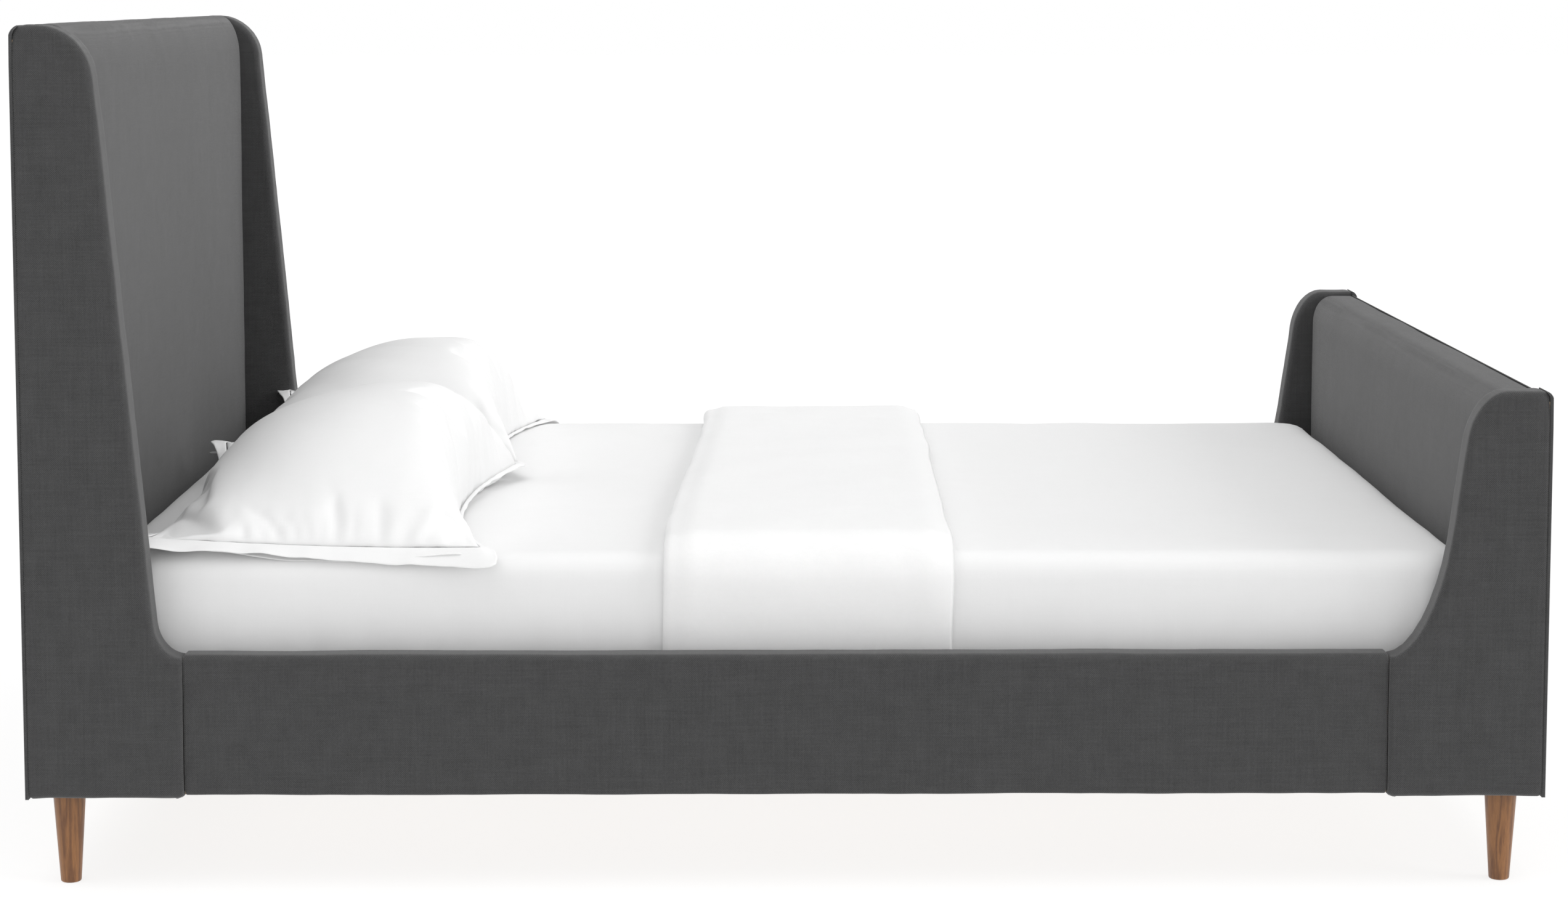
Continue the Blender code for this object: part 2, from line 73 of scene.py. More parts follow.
studioLight = {
    # where each light comes from (X, Y, Z), its strength and its softness in degrees
    "lamps": {
        "fromFoot": ((0.90, -0.14, 0.40), 1.3, 40),
        "fromHead": ((-0.80, -0.14, 0.75), 0.2, 50),
        "fromFront": ((0.0, -0.95, 0.30), 0.38, 70),
        "overhead": ((-0.10, -0.10, 1.0), 0.90, 60),
    },
    "roomGlow": 0.62,
    "backdrop": 1.0,           # brightness of the wall behind, as the camera sees it
}


def placeLights():
    for name, (direction, strength, softness) in studioLight["lamps"].items():
        bpy.ops.object.light_add(type="SUN")
        light = bpy.context.object
        light.name = name
        light.rotation_euler = Vector(direction).to_track_quat("Z", "Y").to_euler()
        light.data.energy = strength
        light.data.angle = math.radians(softness)
    world = bpy.data.worlds.new("studio")
    bpy.context.scene.world = world
    world.use_nodes = True
    nodes, links = world.node_tree.nodes, world.node_tree.links
    glow = nodes["Background"]
    glow.inputs["Strength"].default_value = studioLight["roomGlow"]
    glow.inputs["Color"].default_value = (1, 1, 1, 1)
    backdrop = nodes.new("ShaderNodeBackground")
    backdrop.inputs["Strength"].default_value = studioLight["backdrop"]
    backdrop.inputs["Color"].default_value = (1, 1, 1, 1)
    seen = nodes.new("ShaderNodeLightPath")
    mix = nodes.new("ShaderNodeMixShader")
    links.new(seen.outputs["Is Camera Ray"], mix.inputs["Fac"])
    links.new(glow.outputs["Background"], mix.inputs[1])
    links.new(backdrop.outputs["Background"], mix.inputs[2])
    links.new(mix.outputs["Shader"], nodes["World Output"].inputs["Surface"])
    bpy.context.scene.view_settings.view_transform = "Standard"


print("stage: camera and light")
placeCamera()
placeLights()


# shader groups


def newGroup(name, inputs, outputs):
    group = bpy.data.node_groups.new(name, "ShaderNodeTree")
    for label, kind, value in inputs:
        socket = group.interface.new_socket(label, in_out="INPUT", socket_type="NodeSocket" + kind)
        if value is not None:
            socket.default_value = value
    for label, kind in outputs:
        group.interface.new_socket(label, in_out="OUTPUT", socket_type="NodeSocket" + kind)
    return group, group.nodes.new("NodeGroupInput"), group.nodes.new("NodeGroupOutput")


def mathNode(tree, operation, first, second=None, third=None):
    node = tree.nodes.new("ShaderNodeMath")
    node.operation = operation
    for index, value in enumerate((first, second, third)):
        if isinstance(value, (int, float)):
            node.inputs[index].default_value = value
        elif value is not None:
            tree.links.new(value, node.inputs[index])
    return node.outputs[0]


def vectorNode(tree, operation, first, second=None):
    node = tree.nodes.new("ShaderNodeVectorMath")
    node.operation = operation
    for index, value in enumerate((first, second)):
        if isinstance(value, tuple):
            node.inputs[index].default_value = value
        elif value is not None:
            tree.links.new(value, node.inputs[index])
    return node.outputs["Value"] if operation == "DOT_PRODUCT" else node.outputs["Vector"]


def noiseNode(tree, vector, stretch, detail=3.0):
    node = tree.nodes.new("ShaderNodeTexNoise")
    node.inputs["Scale"].default_value = 1.0
    node.inputs["Detail"].default_value = detail
    tree.links.new(vectorNode(tree, "MULTIPLY", vector, stretch), node.inputs["Vector"])
    return mathNode(tree, "SUBTRACT", node.outputs["Fac"], 0.5)


def scaleNode(tree, vector, amount):
    node = tree.nodes.new("ShaderNodeVectorMath")
    node.operation = "SCALE"
    tree.links.new(vector, node.inputs[0])
    tree.links.new(amount, node.inputs["Scale"])
    return node.outputs["Vector"]


def mixTones(tree, tone, entry):
    # from the group's dark colour at 0 to its light one at 1
    clamp = tree.nodes.new("ShaderNodeClamp")
    tree.links.new(tone, clamp.inputs["Value"])
    node = tree.nodes.new("ShaderNodeMix")
    node.data_type = "RGBA"
    tree.links.new(clamp.outputs["Result"], node.inputs["Factor"])
    tree.links.new(entry.outputs["Dark"], node.inputs["A"])
    tree.links.new(entry.outputs["Light"], node.inputs["B"])
    return node.outputs["Result"]


def buildWeave():
    group, entry, leave = newGroup(
        "clothWeave",
        [("Vector", "Vector", None), ("Normal", "Vector", None), ("Threads", "Float", 1400.0),
         ("Weave", "Float", 0.25), ("Slub", "Float", 0.5), ("Mottle", "Float", 0.5),
         ("Dark", "Color", (0, 0, 0, 1)), ("Light", "Color", (1, 1, 1, 1))],
        [("Color", "Color"), ("Height", "Float")])
    place, normal = entry.outputs["Vector"], entry.outputs["Normal"]
    wander = group.nodes.new("ShaderNodeTexNoise")
    wander.inputs["Scale"].default_value = 45.0
    group.links.new(place, wander.inputs["Vector"])
    shifted = group.nodes.new("ShaderNodeVectorMath")     # threads are never quite straight
    shifted.operation = "MULTIPLY_ADD"
    group.links.new(wander.outputs["Color"], shifted.inputs[0])
    shifted.inputs[1].default_value = (0.0016, 0.0016, 0.0016)
    group.links.new(place, shifted.inputs[2])
    scaled = scaleNode(group, shifted.outputs["Vector"], entry.outputs["Threads"])
    waves = group.nodes.new("ShaderNodeSeparateXYZ")
    group.links.new(vectorNode(group, "SINE", scaled), waves.inputs[0])
    pairs = []
    for order in ((1, 0, 0), (2, 2, 1)):
        pair = group.nodes.new("ShaderNodeCombineXYZ")
        for index, axis in enumerate(order):
            group.links.new(waves.outputs[axis], pair.inputs[index])
        pairs.append(pair.outputs[0])
    crossings = vectorNode(group, "MULTIPLY", *pairs)
    facing = vectorNode(group, "MULTIPLY", normal, normal)
    weave = vectorNode(group, "DOT_PRODUCT", crossings, facing)
    slubs = [noiseNode(group, place, stretch)
             for stretch in ((14, 420, 420), (420, 14, 420), (420, 420, 14))]
    slub = mathNode(group, "ADD", mathNode(group, "ADD", slubs[0], slubs[1]), slubs[2])
    mottle = noiseNode(group, place, (38, 38, 38), 5.0)
    tone = mathNode(group, "MULTIPLY_ADD", weave, entry.outputs["Weave"], 0.5)
    tone = mathNode(group, "MULTIPLY_ADD", slub, entry.outputs["Slub"], tone)
    tone = mathNode(group, "MULTIPLY_ADD", mottle, entry.outputs["Mottle"], tone)
    colour = mixTones(group, tone, entry)
    height = mathNode(group, "MULTIPLY_ADD", slub, 0.8, weave)
    group.links.new(colour, leave.inputs["Color"])
    group.links.new(height, leave.inputs["Height"])
    return group


def buildCreases():
    group, entry, leave = newGroup(
        "softCreases", [("Vector", "Vector", None), ("Scale", "Float", 9.0)], [("Height", "Float")])
    scaled = scaleNode(group, entry.outputs["Vector"], entry.outputs["Scale"])
    broad = noiseNode(group, scaled, (1.0, 0.55, 1.0), 2.0)
    ridge = mathNode(group, "ABSOLUTE", noiseNode(group, scaled, (2.7, 3.9, 3.1)))
    height = mathNode(group, "MULTIPLY_ADD", ridge, -0.5, broad)
    group.links.new(height, leave.inputs["Height"])
    return group


def buildGrain():
    group, entry, leave = newGroup(
        "woodGrain",
        [("Vector", "Vector", None), ("Bands", "Float", 90.0), ("Figure", "Float", 0.5),
         ("Dark", "Color", (0, 0, 0, 1)), ("Light", "Color", (1, 1, 1, 1))],
        [("Color", "Color"), ("Height", "Float"), ("Roughness", "Float")])
    scaled = scaleNode(group, entry.outputs["Vector"], entry.outputs["Bands"])
    broad = noiseNode(group, scaled, (0.45, 0.45, 0.45), 2.0)
    rings = mathNode(group, "SINE", mathNode(group, "MULTIPLY", broad, 34.0))
    pores = noiseNode(group, scaled, (9.0, 9.0, 9.0), 4.0)
    figure = mathNode(group, "MULTIPLY", rings, entry.outputs["Figure"])
    tone = mathNode(group, "MULTIPLY_ADD", figure, 0.5, 0.5)
    tone = mathNode(group, "MULTIPLY_ADD", pores, 0.9, tone)
    colour = mixTones(group, tone, entry)
    group.links.new(colour, leave.inputs["Color"])
    group.links.new(tone, leave.inputs["Height"])
    group.links.new(mathNode(group, "MULTIPLY_ADD", pores, -0.3, 0.45), leave.inputs["Roughness"])
    return group


def buildScuffs():
    group, entry, leave = newGroup(
        "lightScuffs",
        [("Vector", "Vector", None), ("Base", "Float", 0.4), ("Spread", "Float", 0.25),
         ("Dark", "Color", (0, 0, 0, 1)), ("Light", "Color", (1, 1, 1, 1))],
        [("Color", "Color"), ("Height", "Float"), ("Roughness", "Float")])
    place = entry.outputs["Vector"]
    broad = noiseNode(group, place, (60, 60, 60), 4.0)
    grit = noiseNode(group, place, (1500, 1500, 1500), 2.0)
    scratch = noiseNode(group, place, (2600, 90, 900), 2.0)
    tone = mathNode(group, "ADD", mathNode(group, "MULTIPLY_ADD", broad, 0.9, 0.5),
                    mathNode(group, "MULTIPLY", scratch, 0.5))
    colour = mixTones(group, tone, entry)
    rough = mathNode(group, "MULTIPLY_ADD", broad, entry.outputs["Spread"], entry.outputs["Base"])
    group.links.new(colour, leave.inputs["Color"])
    group.links.new(mathNode(group, "ADD", grit, scratch), leave.inputs["Height"])
    group.links.new(rough, leave.inputs["Roughness"])
    return group


# materials


def startMaterial(name, roughness, metallic=0.0):
    material = bpy.data.materials.new(name)
    material.use_nodes = True
    tree = material.node_tree
    shader = tree.nodes["Principled BSDF"]
    shader.inputs["Roughness"].default_value = roughness
    shader.inputs["Metallic"].default_value = metallic
    place = tree.nodes.new("ShaderNodeTexCoord")
    return material, tree, shader, place


def useGroup(tree, group, values):
    node = tree.nodes.new("ShaderNodeGroup")
    node.node_tree = group
    for label, value in values.items():
        node.inputs[label].default_value = (*value, 1.0) if isinstance(value, tuple) else value
    return node


def addBump(tree, shader, height, depth, strength, before=None):
    bump = tree.nodes.new("ShaderNodeBump")
    bump.inputs["Distance"].default_value = depth
    bump.inputs["Strength"].default_value = strength
    tree.links.new(height, bump.inputs["Height"])
    if before:
        tree.links.new(before.outputs["Normal"], bump.inputs["Normal"])
    tree.links.new(bump.outputs["Normal"], shader.inputs["Normal"])
    return bump


clothLooks = {
    "charcoalFabric": {
        "weave": {"Threads": 2100.0, "Weave": 0.30, "Slub": 0.40, "Mottle": 0.35,
                  "Dark": (0.034, 0.034, 0.0344), "Light": (0.084, 0.084, 0.085)},
        "roughness": 0.95, "threadDepth": 0.0005, "threadStrength": 0.55,
        "sheen": 0.30, "sheenRoughness": 0.45,
        "creaseScale": 5.0, "creaseDepth": 0.0015,
    },
    "whiteCotton": {
        "weave": {"Threads": 5200.0, "Weave": 0.10, "Slub": 0.20, "Mottle": 0.25,
                  "Dark": (0.80, 0.80, 0.80), "Light": (0.86, 0.86, 0.86)},
        "roughness": 0.85, "threadDepth": 0.00012, "threadStrength": 0.3,
        "sheen": 0.08, "sheenRoughness": 0.5,
        "creaseScale": 7.0, "creaseDepth": 0.002,
    },
    "whiteQuilt": {
        "weave": {"Threads": 3600.0, "Weave": 0.12, "Slub": 0.25, "Mottle": 0.2,
                  "Dark": (0.83, 0.83, 0.83), "Light": (0.89, 0.89, 0.89)},
        "roughness": 0.9, "threadDepth": 0.00025, "threadStrength": 0.4,
        "sheen": 0.10, "sheenRoughness": 0.5,
        "creaseScale": 6.0, "creaseDepth": 0.003,
    },
}


def makeCloth(name, look):
    material, tree, shader, place = startMaterial(name, look["roughness"])
    weave = useGroup(tree, clothWeave, look["weave"])
    creases = useGroup(tree, softCreases, {"Scale": look["creaseScale"]})
    tree.links.new(place.outputs["Object"], weave.inputs["Vector"])
    tree.links.new(place.outputs["Normal"], weave.inputs["Normal"])
    tree.links.new(place.outputs["Object"], creases.inputs["Vector"])
    tree.links.new(weave.outputs["Color"], shader.inputs["Base Color"])
    creased = addBump(tree, shader, creases.outputs["Height"], look["creaseDepth"], 0.6)
    addBump(tree, shader, weave.outputs["Height"], look["threadDepth"], look["threadStrength"], creased)
    shader.inputs["Sheen Weight"].default_value = look["sheen"]
    shader.inputs["Sheen Roughness"].default_value = look["sheenRoughness"]
    shader.inputs["Specular IOR Level"].default_value = 0.2
    return material


woodLooks = {
    "walnutWood": {"grain": {"Bands": 120.0, "Figure": 0.6, "Dark": (0.105, 0.035, 0.008),
                             "Light": (0.300, 0.128, 0.037)}, "coat": 0.2},
    "paleTimber": {"grain": {"Bands": 60.0, "Figure": 0.45, "Dark": (0.42, 0.27, 0.145),
                             "Light": (0.70, 0.52, 0.33)}, "coat": 0.0},
}
alongGrain = 0.05       # how much slower the figure changes along the grain than across it


def makeWood(name, look, axis):
    material, tree, shader, place = startMaterial(name, 0.5)
    grain = useGroup(tree, woodGrain, look["grain"])
    mapping = tree.nodes.new("ShaderNodeMapping")
    mapping.inputs["Scale"].default_value = [alongGrain if index == axis else 1.0 for index in range(3)]
    tree.links.new(place.outputs["Object"], mapping.inputs["Vector"])
    tree.links.new(mapping.outputs["Vector"], grain.inputs["Vector"])
    tree.links.new(grain.outputs["Color"], shader.inputs["Base Color"])
    tree.links.new(grain.outputs["Roughness"], shader.inputs["Roughness"])
    addBump(tree, shader, grain.outputs["Height"], 0.0002, 0.5)
    shader.inputs["Coat Weight"].default_value = look["coat"]
    shader.inputs["Coat Roughness"].default_value = 0.3
    return material


hardLooks = {
    "zincSteel": {"scuffs": {"Base": 0.34, "Spread": 0.35, "Dark": (0.40, 0.41, 0.42),
                             "Light": (0.66, 0.67, 0.69)}, "metallic": 1.0, "depth": 0.00006},
    "blackPlastic": {"scuffs": {"Base": 0.48, "Spread": 0.3, "Dark": (0.012, 0.012, 0.013),
                                "Light": (0.034, 0.034, 0.036)}, "metallic": 0.0, "depth": 0.00012},
}


def makeHard(name, look):
    material, tree, shader, place = startMaterial(name, 0.4, look["metallic"])
    scuffs = useGroup(tree, lightScuffs, look["scuffs"])
    tree.links.new(place.outputs["Object"], scuffs.inputs["Vector"])
    tree.links.new(scuffs.outputs["Color"], shader.inputs["Base Color"])
    tree.links.new(scuffs.outputs["Roughness"], shader.inputs["Roughness"])
    addBump(tree, shader, scuffs.outputs["Height"], look["depth"], 0.4)
    return material


floorLook = {
    "size": 120,
    "scuffs": {"Dark": (0.23, 0.23, 0.23), "Light": (0.25, 0.25, 0.25)},
    "glow": 0.80,              # a lit floor, so that the shadow under the bed stays pale
}


def makeFloorFinish():
    material, tree, shader, place = startMaterial("paleFloor", 0.9)
    scuffs = useGroup(tree, lightScuffs, floorLook["scuffs"])
    tree.links.new(place.outputs["Object"], scuffs.inputs["Vector"])
    tree.links.new(scuffs.outputs["Color"], shader.inputs["Base Color"])
    shader.inputs["Specular IOR Level"].default_value = 0.0
    shader.inputs["Emission Color"].default_value = (1, 1, 1, 1)
    shader.inputs["Emission Strength"].default_value = floorLook["glow"]
    return material


print("stage: materials")
clothWeave = buildWeave()
softCreases = buildCreases()
woodGrain = buildGrain()
lightScuffs = buildScuffs()
charcoalFabric, whiteCotton, whiteQuilt = [makeCloth(name, look) for name, look in clothLooks.items()]
walnutWood = makeWood("walnutWood", woodLooks["walnutWood"], 2)
paleTimber = [makeWood(f"paleTimberAlong{letter}", woodLooks["paleTimber"], axis)
              for axis, letter in enumerate("XYZ")]
zincSteel, blackPlastic = [makeHard(name, look) for name, look in hardLooks.items()]


# working on pieces


def takeUp(piece):
    bpy.ops.object.select_all(action="DESELECT")
    piece.select_set(True)
    bpy.context.view_layer.objects.active = piece


def openEdit(piece):
    takeUp(piece)
    bpy.ops.object.mode_set(mode="EDIT")
    bpy.ops.mesh.select_all(action="DESELECT")


def closeEdit():
    bpy.ops.object.mode_set(mode="OBJECT")


def pick(piece, kind, wanted):
    # selects the vertices, edges or faces whose corners are where they are wanted
    closeEdit()
    bpy.context.tool_settings.mesh_select_mode = [kind == each for each in ("VERT", "EDGE", "FACE")]
    mesh = piece.data
    for item in {"VERT": mesh.vertices, "EDGE": mesh.edges, "FACE": mesh.polygons}[kind]:
        places = [mesh.vertices[index].co for index in getattr(item, "vertices", [item.index])]
        item.select = wanted(places)
    bpy.ops.object.mode_set(mode="EDIT")


def modify(piece, kind, **values):
    modifier = piece.modifiers.new(kind.title(), kind)
    for label, value in values.items():
        setattr(modifier, label, value)
    takeUp(piece)
    bpy.ops.object.modifier_apply(modifier=modifier.name)


def applyPlace(piece):
    takeUp(piece)
    bpy.ops.object.transform_apply(location=True, rotation=True, scale=True)


def copyNode(node, name):
    piece = bpy.data.objects.new(name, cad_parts[node].data.copy())
    bpy.context.scene.collection.objects.link(piece)
    openEdit(piece)
    bpy.ops.mesh.select_all(action="SELECT")
    bpy.ops.mesh.remove_doubles(threshold=0.00005)
    closeEdit()
    return piece


def addBlock(name, low, high):
    middle = [(a + b) / 2 for a, b in zip(low, high)]
    size = [b - a for a, b in zip(low, high)]
    bpy.ops.mesh.primitive_cube_add(size=1, location=middle)
    piece = bpy.context.object
    piece.name = name
    piece.scale = size
    applyPlace(piece)
    return piece


def weightEdges(piece, weigh):
    mesh = piece.data
    weights = mesh.attributes.new("bevel_weight_edge", "FLOAT", "EDGE")
    for edge in mesh.edges:
        weights.data[edge.index].value = weigh([mesh.vertices[index].co for index in edge.vertices])


def softenEdges(piece, width):
    modify(piece, "BEVEL", width=width, segments=4, limit_method="WEIGHT", use_clamp_overlap=False)


def fineSkin(piece, voxel):
    # small even faces that keep the shape, so that the cloth can ripple
    shape = piece.copy()
    shape.data = piece.data.copy()
    bpy.context.scene.collection.objects.link(shape)
    modify(piece, "REMESH", mode="VOXEL", voxel_size=voxel)
    modify(piece, "SMOOTH", factor=0.5, iterations=2)
    modify(piece, "SHRINKWRAP", target=shape, wrap_method="NEAREST_SURFACEPOINT")
    bpy.data.objects.remove(shape)


def moveVertices(piece, mover):
    mesh = piece.data
    moved = [mover(vertex.co.copy(), vertex.normal.copy()) for vertex in mesh.vertices]
    for vertex, place in zip(mesh.vertices, moved):
        vertex.co = place
    mesh.update()


def cloudy(place, size, seed):
    return noise.noise(Vector(place) / size + Vector((seed * 7.3, seed * 3.1, seed * 5.7)))


def shareOf(value, start, end):
    share = min(max((value - start) / (end - start), 0.0), 1.0)
    return share * share * (3 - 2 * share)


def placeShape(name, shape):
    bmesh.ops.recalc_face_normals(shape, faces=shape.faces)
    mesh = bpy.data.meshes.new(name)
    shape.to_mesh(mesh)
    shape.free()
    piece = bpy.data.objects.new(name, mesh)
    bpy.context.scene.collection.objects.link(piece)
    return piece


def stitchRings(name, rings, closed):
    # one cloth from rings of places, each ring joined to the next
    shape = bmesh.new()
    made = [[shape.verts.new(place) for place in ring] for ring in rings]
    count = len(rings[0])
    for first, second in zip(made, made[1:]):
        for index in range(count if closed else count - 1):
            following = (index + 1) % count
            shape.faces.new([first[index], first[following], second[following], second[index]])
    if closed:
        shape.faces.new(made[0])
        shape.faces.new(made[-1])
    return placeShape(name, shape)


def alongLine(start, end, step):
    count = max(int(math.dist(start, end) / step), 1)
    across, up = (end[0] - start[0]) / count, (end[1] - start[1]) / count
    return [(start[0] + across * index, start[1] + up * index) for index in range(count)]


def alongArc(centre, radius, first, last, steps):
    turns = [math.radians(first + (last - first) * index / steps) for index in range(steps)]
    return [(centre[0] + radius * math.cos(turn), centre[1] + radius * math.sin(turn)) for turn in turns]


def smoothByAngle(piece, degrees):
    takeUp(piece)
    bpy.ops.object.shade_smooth_by_angle(angle=math.radians(degrees))


def handIn(piece, material, body, node):
    piece.data.materials.clear()
    piece.data.materials.append(material)
    takeUp(piece)
    bpy.ops.object.shade_smooth()
    bpy.ops.object.select_all(action="DESELECT")
    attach(piece, body)
    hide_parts(node)


# upholstered headboard and footboard

wingLook = {
    "voxel": 0.005,
    "softEdge": 0.010,
    "seamEdge": 0.20,          # share of the soft edge, beside the rail and the back cover
    "flatBack": 0.0022,        # this near the back cover the cloth lies against it
    "backCorner": 0.026,       # down to here the back edge is round
    "ripple": 0.0012,
}


def makeWing(endName, facing, sideName, side):
    node = f"{endName}_wing_cover_{sideName}"
    low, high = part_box(node)
    outerFace = high.y if side > 0 else low.y
    backFace = low.x if facing > 0 else high.x
    frontFace = high.x if facing > 0 else low.x
    wing = copyNode(node, f"{endName}WingFabric{sideName.title()}")
    openEdit(wing)
    pick(wing, "VERT", lambda places: abs(places[0].y - outerFace) > 0.0005)
    bpy.ops.mesh.delete(type="VERT")
    bpy.ops.mesh.select_all(action="SELECT")
    bpy.ops.mesh.dissolve_limited(angle_limit=0.02)
    closeEdit()
    modify(wing, "SOLIDIFY", thickness=high.y - low.y, offset=-1.0)

    def weigh(places):
        first, second = places
        atBack = all(abs(place.x - backFace) < 0.001 for place in places)
        atRail = all(abs(place.x - frontFace) < 0.001 for place in places)
        onOutline = abs(first.y - second.y) < 0.001
        cornerOfBase = not onOutline and first.z < low.z + 0.001
        if not (onOutline or cornerOfBase):
            return 0.0
        return wingLook["seamEdge"] if atBack or atRail else 1.0

    weightEdges(wing, weigh)
    softenEdges(wing, wingLook["softEdge"])
    fineSkin(wing, wingLook["voxel"])

    def settle(place, normal):
        fromBack = abs(place.x - backFace)
        if fromBack < wingLook["flatBack"] and place.z < high.z - wingLook["backCorner"]:
            place.x = backFace
        return place - normal * wingLook["ripple"] * shareOf(fromBack, 0.004, 0.030) * (
            0.5 + cloudy(place, 0.11, side + 2) + 0.4 * cloudy(place, 0.035, side + 5))

    moveVertices(wing, settle)
    handIn(wing, charcoalFabric, "bed_frame", node)


padLook = {
    "voxel": 0.009,
    "sideEdge": 0.014,
    "crown": 0.006,
    "flatTop": 0.20,           # the crown fades over this much of its top, and of its foot
    "flatFoot": 0.30,
    "ripple": 0.0012,
}


def makePad(endName, facing):
    node = f"{endName}_pad"
    low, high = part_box(node)
    half = high.y
    panelLow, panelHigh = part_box(f"{endName}_panel")
    panelFront = panelHigh.x if facing > 0 else panelLow.x
    pad = copyNode(node, f"{endName}PadFabric")
    openEdit(pad)
    bpy.ops.mesh.select_all(action="SELECT")
    bpy.ops.mesh.dissolve_limited(angle_limit=0.02)
    closeEdit()

    def weigh(places):
        first, second = places
        onEnd = abs(first.y - second.y) < 0.001
        clearOfPanel = all((place.x - panelFront) * facing > 0.004 or place.z > panelHigh.z + 0.01
                           for place in places)
        return 1.0 if onEnd and clearOfPanel else 0.0

    weightEdges(pad, weigh)
    softenEdges(pad, padLook["sideEdge"])
    fineSkin(pad, padLook["voxel"])

    def crown(place, normal):
        toFace = max(normal.x * facing, 0.0)
        across = 1 - abs(place.y / half) ** 6
        fromTop = shareOf(place.z, high.z, high.z - padLook["flatTop"])
        fromMattress = shareOf(place.z, low.z, low.z + padLook["flatFoot"])
        swell = padLook["crown"] * toFace * across * fromTop * fromMattress
        sway = padLook["ripple"] * (0.5 + cloudy(place, 0.23, 3) + 0.35 * cloudy(place, 0.06, 4))
        return place + Vector((facing * swell, 0, 0)) - normal * sway

    moveVertices(pad, crown)
    handIn(pad, charcoalFabric, "bed_frame", node)


backLook = {
    "step": 0.040,             # along the cloth
    "hollow": 0.0012,          # how far it sinks between the timbers
    "rollOver": 58,            # degrees it turns forward over the top
    "rollSteps": 8,
    "hem": 0.0016,             # thickness where it ends
    "endEdge": 0.0010,
    "plateDrop": 0.003,        # the plain plate it stands for ends this far below the round
}


def makeBackCover(endName, facing):
    node = f"{endName}_back_cover"
    low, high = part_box(node)
    outside = low.x if facing > 0 else high.x
    thick = high.x - low.x
    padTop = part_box(f"{endName}_pad")[1].z
    rounding = padTop - high.z - backLook["plateDrop"]
    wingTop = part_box(f"{endName}_wing_cover_left")[1].z
    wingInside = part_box(f"{endName}_wing_cover_right")[0].y
    middleX = outside + facing * (thick + rounding)
    turn, steps = math.radians(backLook["rollOver"]), backLook["rollSteps"]
    rows = int((padTop - low.z) / backLook["step"])

    def section(y):
        toSide = min(y - low.y, high.y - y)
        top = wingTop if abs(y) > wingInside else padTop
        middleZ = top - rounding
        inset = backLook["endEdge"] * (toSide < 0.0005)

        def sunk(z):
            toEdge = min(toSide, z - low.z, top - z)
            return backLook["hollow"] * shareOf(toEdge, 0.0, 0.25) * (
                0.5 + cloudy((y, z, 0), 0.3, 8) + 0.4 * cloudy((y, z, 0), 0.08, 9))

        heights = [low.z + inset + (middleZ - low.z - inset) * row / rows for row in range(rows)]
        outer = [(outside + facing * (inset + sunk(height)), height) for height in heights]
        inner = [(outside + facing * (thick - inset), height) for height in heights]
        for step in range(1, steps + 1):
            angle, share = turn * step / steps, step / steps
            for line, reach in ((outer, rounding + thick - inset - (thick - backLook["hem"]) * share),
                                (inner, rounding + 0.0003 + inset * (1 - share))):
                line.append((middleX - facing * math.cos(angle) * reach,
                             middleZ + math.sin(angle) * reach))
        return [(x, y, z) for x, z in outer + inner[::-1]]

    count = int((high.y - low.y) / backLook["step"])
    stops = [low.y, low.y + 0.0015, high.y - 0.0015, high.y]
    stops += [side * (wingInside + gap) for side in (-1, 1) for gap in (-0.0006, 0.0006)]
    stops += [low.y + (high.y - low.y) * index / count for index in range(1, count)]
    rings = [section(y) for y in sorted(stops)]
    cover = stitchRings(f"{endName}BackFabric", rings, True)
    handIn(cover, charcoalFabric, "bed_frame", node)
    smoothByAngle(cover, 50)


legLook = {
    "segments": 64,
    "footEdge": 0.003,
}


def makeLeg(endName, sideName):
    node = f"{endName}_leg_{sideName}"
    low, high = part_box(node)
    nodePoints = [vertex.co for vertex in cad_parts[node].data.vertices]
    middle = (low + high) / 2
    footRadius = max(math.hypot(point.x - middle.x, point.y - middle.y)
                     for point in nodePoints if point.z < low.z + 0.005)
    bpy.ops.mesh.primitive_cone_add(vertices=legLook["segments"], radius1=footRadius,
                                    radius2=(high.x - low.x) / 2, depth=high.z - low.z, location=middle)
    leg = bpy.context.object
    leg.name = f"{endName}Leg{sideName.title()}"
    applyPlace(leg)
    openEdit(leg)
    pick(leg, "EDGE", lambda places: all(place.z < low.z + 0.001 for place in places))
    bpy.ops.mesh.bevel(offset=legLook["footEdge"], segments=4)
    pick(leg, "EDGE", lambda places: abs(places[0].z - places[1].z) > 0.05)
    bpy.ops.mesh.subdivide(number_cuts=6)
    closeEdit()
    handIn(leg, walnutWood, "bed_frame", node)
    smoothByAngle(leg, 40)


print("stage: headboard and footboard")
for endName, facing in bedEnds:
    makePad(endName, facing)
    makeBackCover(endName, facing)
    for sideName, side in bedSides:
        makeWing(endName, facing, sideName, side)
        makeLeg(endName, sideName)


# side rails

railLook = {
    "underHem": 0.022,         # fabric turned under the board
    "hemDrop": 0.0018,
    "cloth": 0.0017,
    "topEdge": 0.012,
    "footEdge": 0.005,
    "seamTurn": 0.0030,        # the fabric turns in at each end
    "tuckGap": 0.0010,         # reaching this far into the open seam
    "tuckShare": (1, 0.975, 0.995),    # and drawn in to this share of its width and height
    "step": 0.014,
    "ripple": 0.0012,
}


